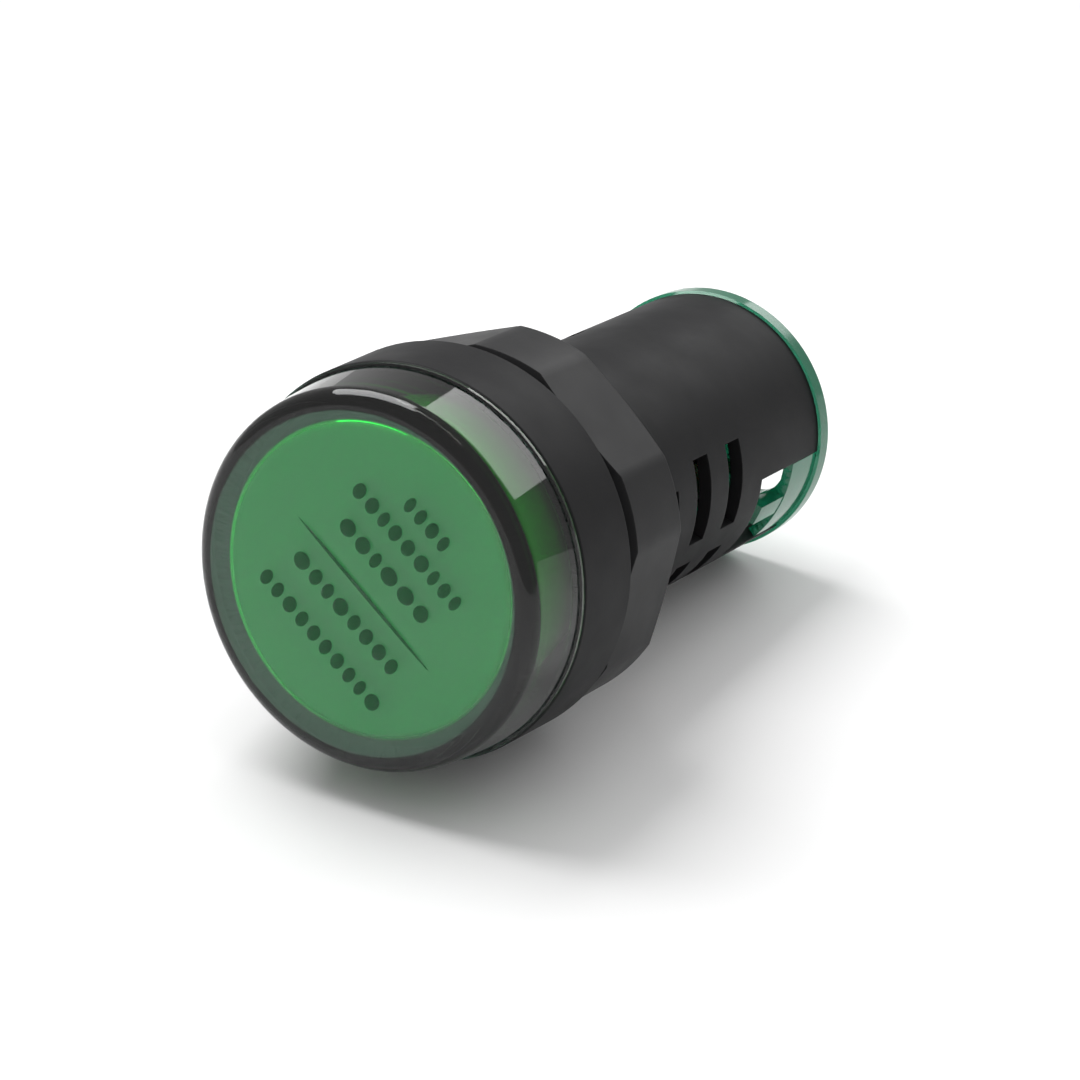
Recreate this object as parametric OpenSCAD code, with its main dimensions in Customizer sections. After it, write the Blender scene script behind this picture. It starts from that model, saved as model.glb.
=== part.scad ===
// Panel pilot light: a translucent lens cap on a 22 mm barrel with rear screw terminals.
//
// The device axis runs along +Y: the lens faces -Y, the wires enter near the +Y end, +Z is up.
// The origin is the centre of the seat plane, where the gasket meets the front of the panel.
// Inside the sub-part modules Z runs along the device axis, X points at the first wire window
// and Y at the gap between the two windows; placed() turns that local frame into the real one.

/* [Bezel] */
// How far the bezel's rear edge reaches out past the thread
bezel_reach = 4.1; // [3.8:0.1:5]
// Radial draft of the bezel from its rear edge to its front edge
bezel_draft = 0.1; // [0:0.05:0.3]
// Length of the bezel
bezel_l = 6.7; // [6:0.1:9]
// Small chamfer at the bezel's two edges
bezel_chamfer = 0.2; // [0.1:0.05:0.4]
// Thickness of the floor between the lens pocket and the bezel's rear face
bezel_floor_t = 1.6; // [1.2:0.1:2.2]
// Wall between the bezel's front edge and the lens pocket
bezel_wall = 1.9; // [1.6:0.1:2.4]

/* [Lens] */
// Length of the lens in front of the bezel
lens_l = 6; // [4.5:0.1:9]
// Step from the bezel's front edge in to the lip of the lens
lens_lip_step = 0.1; // [0.05:0.05:0.3]
// Thickness of the lip at the foot of the lens
lens_lip_t = 0.3; // [0.2:0.05:1]
// Step from the lip in to the wall of the lens
lens_foot_step = 0.2; // [0.1:0.05:0.4]
// Radial draft of the lens wall from its foot to its front edge
lens_draft = 0.45; // [0.2:0.05:0.8]
// Radius of the rounded front edge of the lens
lens_edge_r = 1.3; // [0.5:0.1:1.5]
// Thickness of the flat front of the lens
lens_front_t = 1.4; // [1:0.1:2]
// Length of the lens skirt inside the bezel
lens_skirt_l = 3.6; // [2:0.1:4]
// Wall of the lens skirt
lens_skirt_wall = 1.15; // [0.9:0.05:1.4]
// Radial clearance between the lens skirt and the bezel
lens_fit = 0.05; // [0.02:0.01:0.2]

/* [Protective film] */
// Margin of the lens' flat front round the protective film
film_margin = 0.2; // [0.1:0.05:1]
// Thickness of the protective film
film_t = 0.12; // [0.08:0.01:0.3]

/* [Diffuser] */
// Wall of the diffuser cup
diffuser_wall = 1; // [0.8:0.1:1.4]
// Thickness of the diffuser's front
diffuser_front_t = 0.9; // [0.6:0.1:1.4]
// Radial clearance between the diffuser and the lens
diffuser_fit = 0.1; // [0.05:0.01:0.2]

/* [Barrel] */
// Outer diameter of the smooth barrel
barrel_d = 21.1; // [20.9:0.1:21.2]
// Inner diameter of the barrel
bore_d = 19; // [18.8:0.1:19.2]
// Length of the barrel behind the bezel
barrel_l = 39.6; // [39:0.1:46]
// Outer diameter of the thread for the panel nut
thread_d = 22; // [21.9:0.05:22.1]
// Length of the threaded sectors behind the bezel
thread_l = 14.6; // [14.6:0.1:17]
// Angle of each of the two threaded sectors
thread_span = 108; // [90:1:108]
// Turn of the first wire window below the horizontal
port_turn = 21; // [0:1:45]

/* [Vent slots] */
// Width of a vent slot along the barrel
vent_w = 2.3; // [1.5:0.1:2.4]
// Distance between slot rows
vent_pitch = 5.25; // [4:0.05:5.4]
// Number of slot rows
vent_rows = 3; // [1:1:3]
// Distance from the bezel to the middle of the first row
vent_first = 14.6; // [13:0.1:14.8]
// Angle that one slot spans
vent_span = 38; // [24:1:40]
// Angle that the first row loses beside the threaded sectors
vent_trim = 9; // [9:1:12]
// Angle of the rib between two neighbouring slots
vent_rib = 12; // [6:1:14]

/* [Wire windows] */
// Length of the open window
window_l = 5.6; // [5.2:0.1:6.2]
// Angle that a window spans
window_span = 42; // [38:1:44]
// Length of the tab that closes the window's tail
tab_l = 4.2; // [4:0.1:4.6]
// Thickness of the tab
tab_t = 0.8; // [0.6:0.05:0.9]
// Step from the barrel's surface down to the tabs, and from the tabs to the stems
tab_step = 0.05; // [0.02:0.01:0.2]
// Width of the stem that splits a window for two wires
stem_w = 1.7; // [1:0.1:2.4]
// Width of the rib that carries the stem in front of the deck
rib_w = 2.6; // [2:0.1:3.4]
// Depth of the stem where the wires pass it
stem_t = 1.2; // [0.8:0.1:1.3]

/* [Terminal base] */
// Step from the barrel's surface up to the rear flange's rim
rim_step = 0.25; // [0.2:0.01:0.3]
// Thickness of the rear flange
flange_t = 1.6; // [1.2:0.1:2.4]
// Chamfer of the flange's rear edge
flange_chamfer = 0.3; // [0.1:0.05:0.5]
// Radial clearance between the base and the barrel's bore
base_fit = 0.1; // [0.05:0.01:0.2]
// Wall of the skirt in front of the deck
skirt_wall = 1; // [0.8:0.1:1.2]
// Length of the skirt in front of the deck
skirt_l = 3.9; // [2:0.1:6]
// Thickness of the deck that carries the terminal strips
deck_t = 1.8; // [1.4:0.1:2.2]
// Height of the terminal chamber between the deck and the flange
chamber_h = 6.3; // [6:0.1:6.6]
// Width of a terminal chamber
chamber_w = 7.5; // [7.2:0.1:8]
// Diameter of the screwdriver wells in the flange
well_d = 6.6; // [6:0.1:7.2]
// Thickness of the barrier between the two terminals
barrier_t = 2.4; // [2:0.1:3]

/* [Terminals] */
// Distance of a terminal screw from the axis
screw_offset = 5; // [4.8:0.05:5.1]
// Diameter of the screw's shank
screw_d = 2.9; // [2.5:0.1:3]
// Diameter of the screw head
screw_head_d = 5.2; // [4.8:0.1:5.4]
// Height of the screw head
screw_head_h = 1.8; // [1.4:0.1:2]
// Length of the screw's shank
screw_l = 5; // [4:0.1:5.6]
// Width of the screwdriver slots in the head
screw_slot_w = 0.7; // [0.5:0.05:0.9]
// Running clearance round the shank in the strip
screw_fit = 0.05; // [0.02:0.01:0.1]
// Side of the square clamp washer
washer_w = 6.2; // [5.6:0.1:6.4]
// Thickness of the clamp washer
washer_t = 0.8; // [0.6:0.1:1]
// Gap between the clamp washer and the strip when it is closed
clamp_gap = 0.1; // [0.05:0.01:0.3]
// Thickness of the terminal strip
strip_t = 0.8; // [0.6:0.1:1]
// Width of the terminal strip
strip_w = 6.4; // [5.8:0.1:6.8]
// Outer end of the terminal strip, from the axis
strip_reach = 8.2; // [7.9:0.1:8.3]
// Width of the strip's leg
strip_leg_w = 4; // [3:0.1:5]
// Length of the strip's leg along the driver board
strip_leg_l = 7; // [5:0.1:9]

/* [Gasket and nut] */
// Thickness of the panel gasket
gasket_t = 1; // [0.8:0.1:2]
// Step from the bezel's rear edge in to the gasket's rim
gasket_inset = 1.35; // [0.8:0.05:1.8]
// Radial clearance between the gasket and the thread
gasket_fit = 0.1; // [0.05:0.01:0.3]
// Step from the bezel's rear edge in to the flats of the nut
nut_flat_inset = 1.15; // [0.8:0.05:1.6]
// Step from the bezel's rear edge in to the rounded corners of the nut
nut_corner_inset = 0.35; // [0.2:0.05:0.6]
// Length of the nut
nut_l = 7.5; // [5:0.1:7.6]
// Length of the chamfer at each end of the nut
nut_chamfer = 0.45; // [0.2:0.05:0.8]
// Radial clearance between the nut and the thread
nut_fit = 0.05; // [0.02:0.01:0.1]
// Gap between the nut and the gasket when it is screwed home
nut_gap = 0.1; // [0.05:0.01:0.3]
// Turn of the nut's first corner from the first wire window
nut_turn = 18; // [0:1:59]

/* [Boards] */
// Thickness of the lamp board
led_board_t = 1; // [0.8:0.1:1.6]
// Gap round the lamp board in the lens pocket
led_board_fit = 0.1; // [0.05:0.01:0.3]
// Number of lamps on the lamp board
led_count = 6; // [3:1:6]
// Diameter of the circle of lamps
led_circle_d = 12.4; // [11:0.1:14]
// Length of one lamp
led_l = 3.5; // [2.8:0.1:3.8]
// Width of one lamp
led_w = 2.8; // [2:0.1:3.2]
// Height of one lamp
led_h = 1.4; // [0.8:0.1:1.9]
// Thickness of the driver board
board_t = 1.2; // [0.8:0.1:1.6]
// Width of the driver board
board_w = 15.6; // [14:0.1:15.8]
// Width of the driver board's tail in the deck
board_tail_w = 10; // [8:0.1:11]
// Width of each tab that plugs into the lamp board
board_tab_w = 2.4; // [1.5:0.1:3]
// Distance from the axis to the middle of each tab
board_tab_v = 5; // [4:0.1:6]
// Clearance round a board in a slot
board_fit = 0.06; // [0.03:0.01:0.1]
// Gap between the driver board's shoulders and the deck
board_shoulder_gap = 0.1; // [0.05:0.01:0.3]
// Gap between the driver board's tail and the terminal chambers
board_tail_gap = 0.3; // [0.1:0.05:0.5]

/* [Components] */
// Dropper capacitor: length along the barrel
dropper_l = 13; // [10:0.1:14]
// Dropper capacitor: width
dropper_w = 12; // [9:0.1:12]
// Dropper capacitor: height above the board
dropper_h = 5.6; // [4:0.1:5.8]
// Smoothing capacitor: diameter
can_d = 6.3; // [5:0.1:6.4]
// Smoothing capacitor: length
can_l = 11; // [8:0.1:12]
// Rectifier: length along the barrel
rectifier_l = 6.5; // [5:0.1:7]
// Rectifier: width
rectifier_w = 4.8; // [4:0.1:5]
// Rectifier: height
rectifier_h = 2.6; // [2:0.1:3]
// Distance from the deck to the end of the longer resistor's body
resistor_gap = 5; // [4:0.1:6]
// Inrush resistor: body diameter
inrush_d = 3; // [2:0.1:3.2]
// Inrush resistor: body length
inrush_l = 8; // [6:0.1:9]
// Bleed resistor: body diameter
bleed_d = 2.2; // [1.6:0.1:2.6]
// Bleed resistor: body length
bleed_l = 6; // [5:0.1:7]
// Diameter of the component leads
lead_d = 0.6; // [0.4:0.05:0.8]

/* [Hidden] */
$fn = 96;
// Overlap of a cut past the face that it opens
eps = 0.5;

// Stations along the device axis, from the lens to the tail
bezel_rear_z = -gasket_t;
bezel_front_z = bezel_rear_z - bezel_l;
lens_front_z = bezel_front_z - lens_l;
lens_inner_z = lens_front_z + lens_front_t;
pocket_floor_z = bezel_rear_z - bezel_floor_t;
board_front_z = pocket_floor_z - led_board_t;
lip_z = bezel_front_z - lens_lip_t;
barrel_end_z = bezel_rear_z + barrel_l;
rear_z = barrel_end_z + flange_t;
tab_front_z = barrel_end_z - tab_l;
window_front_z = tab_front_z - window_l;
chamber_z = barrel_end_z - chamber_h;
deck_z = chamber_z - deck_t;
strip_top_z = chamber_z + strip_t;
washer_z = strip_top_z + clamp_gap;
head_z = washer_z + washer_t;
nut_z = nut_gap;

// Radii of the head, each one a named step from the bezel
bezel_r = thread_d / 2 + bezel_reach;
front_r = bezel_r - bezel_draft;
pocket_r = front_r - bezel_wall;
lip_r = front_r - lens_lip_step;
foot_r = lip_r - lens_foot_step;
lens_r = foot_r - lens_draft;
skirt_r = pocket_r - lens_fit;
cap_r = skirt_r - lens_skirt_wall;
film_r = lens_r - lens_edge_r - film_margin;
diffuser_r = cap_r - diffuser_fit;
led_board_r = cap_r - led_board_fit;
gasket_r = bezel_r - gasket_inset;
nut_flat_r = bezel_r - nut_flat_inset;
nut_corner_r = bezel_r - nut_corner_inset;

// Radii of the barrel and what it holds
barrel_r = barrel_d / 2;
bore_r = bore_d / 2;
thread_r = thread_d / 2;
rim_r = barrel_r + rim_step;
base_r = bore_r - base_fit;
tab_r = barrel_r - tab_step;
stem_r = tab_r - tab_step;
board_face = board_t / 2;

// Turns the local frame (Z along the device, X to the first window) into the part's frame.
module placed() {
    rotate([-90, 0, 0]) rotate([0, 0, port_turn]) children();
}

// Copies its children to both terminals, opposite each other across the axis.
module both_sides() {
    for (side = [0, 180]) rotate([0, 0, side]) children();
}

// Ring sector between two radii, centred on the X axis.
module sector(inner_r, outer_r, span, z0, z1) {
    rotate([0, 0, -span / 2])
        translate([0, 0, z0])
            rotate_extrude(angle = span)
                translate([inner_r, 0]) square([outer_r - inner_r, z1 - z0]);
}

// Box that is centred across Y and runs between the given X and Z limits.
module slab(x0, x1, width, z0, z1) {
    translate([x0, -width / 2, z0]) cube([x1 - x0, width, z1 - z0]);
}

// Tube between two radii along Z.
module tube(inner_r, outer_r, z0, z1) {
    difference() {
        translate([0, 0, z0]) cylinder(r = outer_r, h = z1 - z0);
        translate([0, 0, z0 - eps]) cylinder(r = inner_r, h = z1 - z0 + 2 * eps);
    }
}

// Rectangle with round corners, centred on the origin.
module round_rect(width, height, corner_r) {
    square([width - 2 * corner_r, height], center = true);
    square([width, height - 2 * corner_r], center = true);
    for (x = [-1, 1], y = [-1, 1])
        translate([x * (width / 2 - corner_r), y * (height / 2 - corner_r)])
            circle(r = corner_r, $fn = 32);
}

// Points on an arc about (cx, cy), for profiles.
function arc(cx, cy, r, a0, a1, steps) =
    [for (i = [0:steps]) let (a = a0 + (a1 - a0) * i / steps) [cx + r * cos(a), cy + r * sin(a)]];

// Green cap: flat front, rounded edge, slightly flared wall, lip and skirt.
module lens() {
    edge_z = lens_front_z + lens_edge_r;
    skirt_z = bezel_front_z + lens_skirt_l;
    color("#12a05a") placed() rotate_extrude() polygon(concat(
        [[0, lens_front_z]],
        arc(lens_r - lens_edge_r, edge_z, lens_edge_r, -90, 0, 10),
        [
            [foot_r, lip_z],
            [lip_r, lip_z],
            [lip_r, bezel_front_z],
            [skirt_r, bezel_front_z],
            [skirt_r, skirt_z],
            [cap_r, skirt_z],
            [cap_r, lens_inner_z],
            [0, lens_inner_z]
        ]
    ));
}

// Clear disc that covers the lens until the lamp is in service.
module protective_film() {
    color("#4fc28a") placed()
        translate([0, 0, lens_front_z - film_t]) cylinder(r = film_r, h = film_t);
}

// White cup behind the lens that spreads the light of the lamps.
module diffuser() {
    color("#e8f2ea") placed() rotate_extrude() polygon([
        [0, lens_inner_z],
        [diffuser_r, lens_inner_z],
        [diffuser_r, board_front_z],
        [diffuser_r - diffuser_wall, board_front_z],
        [diffuser_r - diffuser_wall, lens_inner_z + diffuser_front_t],
        [0, lens_inner_z + diffuser_front_t]
    ]);
}

// Slots that let the driver board's heat out, on both sides of each window's centre line.
module vents() {
    first_z = bezel_rear_z + vent_first;
    for (row = [0:vent_rows - 1], half = [-1, 1]) {
        span = vent_span - (row == 0 ? vent_trim : 0);
        row_z = first_z + row * vent_pitch;
        rotate([0, 0, half * (vent_rib + span) / 2])
            sector(bore_r - eps, thread_r + eps, span, row_z - vent_w / 2, row_z + vent_w / 2);
    }
}

// Black body: bezel, barrel, threaded sectors, vent slots and wire windows in one moulding.
module housing() {
    color("#1b1b1d") placed() difference() {
        union() {
            rotate_extrude() polygon([
                [0, bezel_front_z],
                [front_r - bezel_chamfer, bezel_front_z],
                [front_r, bezel_front_z + bezel_chamfer],
                [bezel_r, bezel_rear_z - bezel_chamfer],
                [bezel_r - bezel_chamfer, bezel_rear_z],
                [0, bezel_rear_z]
            ]);
            translate([0, 0, bezel_rear_z]) cylinder(r = barrel_r, h = barrel_l);
            both_sides() rotate([0, 0, 90])
                sector(bore_r, thread_r, thread_span, bezel_rear_z, bezel_rear_z + thread_l);
        }
        translate([0, 0, bezel_front_z - eps])
            cylinder(r = pocket_r, h = pocket_floor_z - bezel_front_z + eps);
        translate([0, 0, pocket_floor_z - eps]) cylinder(r = bore_r, h = barrel_l + bezel_l);
        both_sides() {
            vents();
            sector(bore_r - eps, thread_r + eps, window_span, window_front_z, barrel_end_z + eps);
        }
    }
}

// Round board behind the diffuser, with slots for the driver board's tabs.
module led_board() {
    color("#f1f1ec") placed() difference() {
        translate([0, 0, board_front_z]) cylinder(r = led_board_r, h = led_board_t);
        for (side = [-1, 1])
            translate([0, side * board_tab_v, 0])
                slab(
                    -board_face - board_fit, board_face + board_fit, board_tab_w + 2 * board_fit,
                    board_front_z - eps, pocket_floor_z + eps
                );
    }
}

// One lamp: a white block with a round well over its chip, facing the lens.
module led() {
    well_r = led_w * 0.4;
    difference() {
        slab(-led_l / 2, led_l / 2, led_w, -led_h, 0);
        translate([0, 0, -led_h - eps])
            cylinder(r = well_r, h = led_h / 2 + eps);
    }
}

// Ring of lamps soldered to the front of the lamp board.
module leds() {
    color("#f6f3d8") placed()
        for (i = [0:led_count - 1])
            rotate([0, 0, i * 360 / led_count])
                translate([led_circle_d / 2, 0, board_front_z])
                    led();
}

// Board along the axis: tabs in the lamp board, tail in the terminal base.
module driver_board() {
    shoulder_z = deck_z - board_shoulder_gap;
    color("#2f6b45") placed() {
        slab(-board_face, board_face, board_w, pocket_floor_z, shoulder_z);
        slab(-board_face, board_face, board_tail_w, shoulder_z - eps, chamber_z - board_tail_gap);
        for (side = [-1, 1])
            translate([0, side * board_tab_v, 0])
                slab(-board_face, board_face, board_tab_w, board_front_z, pocket_floor_z + eps);
    }
}

// Film capacitor that drops the mains voltage, on the first face of the driver board.
module dropper_capacitor() {
    start_z = 3;
    color("#b8451f") placed()
        translate([board_face, 0, start_z + dropper_l / 2])
            rotate([0, 90, 0])
                linear_extrude(dropper_h) round_rect(dropper_l, dropper_w, 1);
}

// Electrolytic can that lies beside the rectifier on the second face of the board.
module smoothing_capacitor() {
    start_z = 2;
    lead_gap = 0.1;
    centre_x = -board_face - lead_gap - can_d / 2;
    centre_y = -board_w / 4;
    lead_z = start_z + can_l;
    color("#26324a") placed() translate([centre_x, centre_y, 0]) {
        translate([0, 0, start_z]) cylinder(d = can_d, h = can_l);
        for (side = [-1, 1])
            translate([0, side * can_d / 5, 0]) {
                translate([0, 0, lead_z - eps]) cylinder(d = lead_d, h = 1.2 + eps, $fn = 24);
                translate([0, 0, lead_z + 1.2 - lead_d / 2])
                    rotate([0, 90, 0]) cylinder(d = lead_d, h = can_d / 2 + lead_gap, $fn = 24);
            }
    }
}

// Four-legged rectifier block.
module bridge_rectifier() {
    start_z = 4;
    leg = 0.5;
    centre_y = board_w / 4;
    color("#232323") placed() translate([-board_face, centre_y, start_z]) {
        slab(-rectifier_h - leg, -leg, rectifier_w, 0, rectifier_l);
        for (z = [0.15, 0.85], side = [-1, 1])
            translate([0, side * (rectifier_w / 2 - leg / 2), z * rectifier_l])
                slab(-rectifier_h / 2 - leg, 0, leg, -leg / 2, leg / 2);
    }
}

// Resistor that lies along the board: a body with swollen ends and two bent leads.
module resistor(body_d, body_l) {
    cap_l = body_l / 4;
    lead_l = 1.4;
    lift = body_d / 2 + 0.1;
    translate([-lift, 0, 0]) {
        cylinder(d = body_d * 0.86, h = body_l, $fn = 48);
        for (z = [0, body_l - cap_l]) translate([0, 0, z]) cylinder(d = body_d, h = cap_l, $fn = 48);
        translate([0, 0, -lead_l]) cylinder(d = lead_d, h = body_l + 2 * lead_l, $fn = 24);
        for (z = [-lead_l + lead_d / 2, body_l + lead_l - lead_d / 2])
            translate([0, 0, z]) rotate([0, 90, 0]) cylinder(d = lead_d, h = lift, $fn = 24);
    }
}

// Flameproof resistor in series with the dropper capacitor.
module inrush_resistor() {
    start_z = deck_z - resistor_gap - inrush_l;
    color("#5e7f93") placed()
        translate([-board_face, -board_w / 5, start_z]) resistor(inrush_d, inrush_l);
}

// Small resistor that discharges the dropper capacitor.
module bleed_resistor() {
    start_z = deck_z - resistor_gap - inrush_l;
    color("#c9a36a") placed()
        translate([-board_face, board_w / 5, start_z]) resistor(bleed_d, bleed_l);
}

// One open terminal chamber, cut through the plug towards its window.
module chamber() {
    slab(barrier_t / 2, barrel_r, chamber_w, strip_top_z, barrel_end_z);
    slab(board_face - board_fit, barrel_r, chamber_w, chamber_z, strip_top_z + eps / 2);
    // wire path past the edge of the deck
    for (side = [-1, 1])
        translate([0, side * (chamber_w + stem_w) / 4, 0])
            slab(
                strip_reach + 2 * clamp_gap, barrel_r, (chamber_w - stem_w) / 2,
                deck_z, chamber_z + eps
            );
    // shank of the terminal screw
    translate([screw_offset, 0, deck_z - eps]) cylinder(d = screw_d + 0.8, h = deck_t + 2 * eps);
    // leg of the terminal strip
    slab(
        board_face - board_fit, board_face + strip_t + board_fit, strip_leg_w + 2 * board_fit,
        deck_z - eps, chamber_z + eps
    );
}

// Skirt in front of the deck, open behind the windows apart from the ribs.
module base_skirt() {
    difference() {
        tube(base_r - skirt_wall, base_r, deck_z - skirt_l, deck_z + eps);
        both_sides() difference() {
            sector(0, base_r + eps, window_span, window_front_z, deck_z);
            slab(0, barrel_r, rib_w, window_front_z - eps, deck_z + eps);
        }
    }
}

// Rear flange that closes the barrel's tail.
module base_flange() {
    rotate_extrude() polygon([
        [0, barrel_end_z - eps],
        [base_r, barrel_end_z - eps],
        [base_r, barrel_end_z],
        [rim_r, barrel_end_z],
        [rim_r, rear_z - flange_chamfer],
        [rim_r - flange_chamfer, rear_z],
        [0, rear_z]
    ]);
}

// Well through the flange for the screwdriver.
module well() {
    translate([screw_offset, 0, barrel_end_z - eps]) cylinder(d = well_d, h = flange_t + 2 * eps);
}

// Stem that splits a window: deep beside the deck, thin where the wires pass.
module window_stem() {
    intersection() {
        translate([0, 0, deck_z]) cylinder(r = stem_r, h = window_l + tab_l);
        union() {
            slab(base_r - eps, barrel_r, stem_w, deck_z, chamber_z);
            slab(stem_r - stem_t, barrel_r, stem_w, chamber_z - eps / 2, tab_front_z + eps);
        }
    }
}

// Green rear insert: plug with two chambers, flange, window tabs, stems and skirt.
module terminal_base() {
    tab_side_gap = 0.5;
    color("#1f9a5c") placed() {
        difference() {
            union() {
                translate([0, 0, deck_z]) cylinder(r = base_r, h = chamber_h + deck_t);
                base_skirt();
                base_flange();
            }
            both_sides() {
                chamber();
                well();
            }
            slab(
                -board_face - board_fit, board_face + board_fit, board_tail_w + 2 * board_fit,
                deck_z - eps, chamber_z
            );
        }
        both_sides() {
            sector(
                tab_r - tab_t, tab_r, window_span - 2 * tab_side_gap, tab_front_z,
                barrel_end_z + eps / 2
            );
            window_stem();
        }
    }
}

// Brass strip: a plate under the clamp washer and a leg soldered to the driver board.
module terminal_strip() {
    difference() {
        union() {
            slab(board_face, strip_reach, strip_w, chamber_z, strip_top_z);
            slab(board_face, board_face + strip_t, strip_leg_w, strip_top_z - strip_leg_l, strip_top_z);
        }
        translate([screw_offset, 0, chamber_z - eps])
            cylinder(d = screw_d + 2 * screw_fit, h = strip_t + 2 * eps);
    }
}

// Strip of the first terminal.
module terminal_strip_1() {
    color("#c8a24a") placed() terminal_strip();
}

// Strip of the second terminal.
module terminal_strip_2() {
    color("#c8a24a") placed() rotate([0, 0, 180]) terminal_strip();
}

// Square washer that presses the wires on the strip.
module clamp_washer() {
    difference() {
        translate([screw_offset, 0, 0])
            slab(-washer_w / 2, washer_w / 2, washer_w, washer_z, head_z);
        translate([screw_offset, 0, washer_z - eps])
            cylinder(d = screw_d + 0.3, h = washer_t + 2 * eps);
    }
}

// Washer of the first terminal.
module clamp_washer_1() {
    color("#d6d3c8") placed() clamp_washer();
}

// Washer of the second terminal.
module clamp_washer_2() {
    color("#d6d3c8") placed() rotate([0, 0, 180]) clamp_washer();
}

// Pan-head screw with crossed screwdriver slots.
module terminal_screw() {
    rim_h = screw_head_h * 0.45;
    slot_depth = screw_head_h * 0.55;
    head_top_z = head_z + screw_head_h;
    translate([screw_offset, 0, 0]) {
        translate([0, 0, head_z - screw_l]) cylinder(d = screw_d, h = screw_l + eps);
        difference() {
            rotate_extrude() polygon([
                [0, head_z],
                [screw_head_d / 2, head_z],
                [screw_head_d / 2, head_z + rim_h],
                [screw_head_d * 0.42, head_z + screw_head_h * 0.82],
                [screw_head_d * 0.26, head_top_z],
                [0, head_top_z]
            ]);
            for (turn = [0, 90])
                rotate([0, 0, turn])
                    slab(
                        -screw_head_d * 0.32, screw_head_d * 0.32, screw_slot_w,
                        head_top_z - slot_depth, head_top_z + eps
                    );
        }
    }
}

// Screw of the first terminal.
module terminal_screw_1() {
    color("#cfcfd2") placed() terminal_screw();
}

// Screw of the second terminal.
module terminal_screw_2() {
    color("#cfcfd2") placed() rotate([0, 0, 180]) terminal_screw();
}

// Rubber ring between the bezel and the panel.
module panel_gasket() {
    color("#0d0d0f") placed() tube(thread_r + gasket_fit, gasket_r, bezel_rear_z, 0);
}

// Hexagonal nut with rounded corners, chamfered at both ends.
module panel_nut() {
    end_r = nut_flat_r - nut_chamfer / 2;
    bore = thread_r + nut_fit;
    color("#222225") placed() rotate([0, 0, nut_turn]) difference() {
        intersection() {
            translate([0, 0, nut_z])
                cylinder(r = nut_flat_r / cos(30), h = nut_l, $fn = 6);
            rotate_extrude() polygon([
                [0, nut_z],
                [end_r, nut_z],
                [nut_corner_r, nut_z + nut_chamfer],
                [nut_corner_r, nut_z + nut_l - nut_chamfer],
                [end_r, nut_z + nut_l],
                [0, nut_z + nut_l]
            ]);
        }
        translate([0, 0, nut_z - eps]) cylinder(r = bore, h = nut_l + 2 * eps);
    }
}

lens();
protective_film();
diffuser();
housing();
led_board();
leds();
driver_board();
dropper_capacitor();
smoothing_capacitor();
bridge_rectifier();
inrush_resistor();
bleed_resistor();
terminal_base();
terminal_strip_1();
terminal_strip_2();
clamp_washer_1();
clamp_washer_2();
terminal_screw_1();
terminal_screw_2();
panel_gasket();
panel_nut();
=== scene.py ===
"""Dresses the panel pilot light: finishes, panel thread, film print, solder joints, light and camera."""

import logging
import math
import random
from dataclasses import dataclass, field
from enum import Enum
from typing import Sequence

import bmesh
import bpy
from mathutils import Matrix, Vector


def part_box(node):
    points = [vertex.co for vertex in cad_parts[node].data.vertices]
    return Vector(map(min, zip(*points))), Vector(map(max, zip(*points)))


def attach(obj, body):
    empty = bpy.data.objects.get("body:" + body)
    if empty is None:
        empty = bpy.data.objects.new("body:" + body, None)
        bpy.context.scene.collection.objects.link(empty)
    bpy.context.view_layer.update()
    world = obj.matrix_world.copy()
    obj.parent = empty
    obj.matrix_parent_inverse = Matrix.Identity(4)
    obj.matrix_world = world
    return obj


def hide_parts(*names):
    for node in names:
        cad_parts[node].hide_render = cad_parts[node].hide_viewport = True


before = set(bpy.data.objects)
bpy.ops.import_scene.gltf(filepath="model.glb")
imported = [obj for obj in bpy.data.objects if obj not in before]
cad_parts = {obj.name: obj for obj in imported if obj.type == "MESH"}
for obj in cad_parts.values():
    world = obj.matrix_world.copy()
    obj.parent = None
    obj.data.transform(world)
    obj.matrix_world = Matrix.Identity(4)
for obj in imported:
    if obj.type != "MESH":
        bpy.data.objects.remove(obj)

LOG = logging.getLogger("pilot_light")
MM = 0.001
# Turn of the first wire window below the horizontal, in degrees.
WINDOW_TURN = 21.0
Colour = tuple[float, float, float]
Point = tuple[float, float]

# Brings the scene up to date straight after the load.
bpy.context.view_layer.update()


class Body(Enum):
    """Rigid bodies that the pieces of this script ride on."""

    MAIN = "body"
    NUT = "nut"


# --- Node helpers ---------------------------------------------------------------------------------


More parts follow.
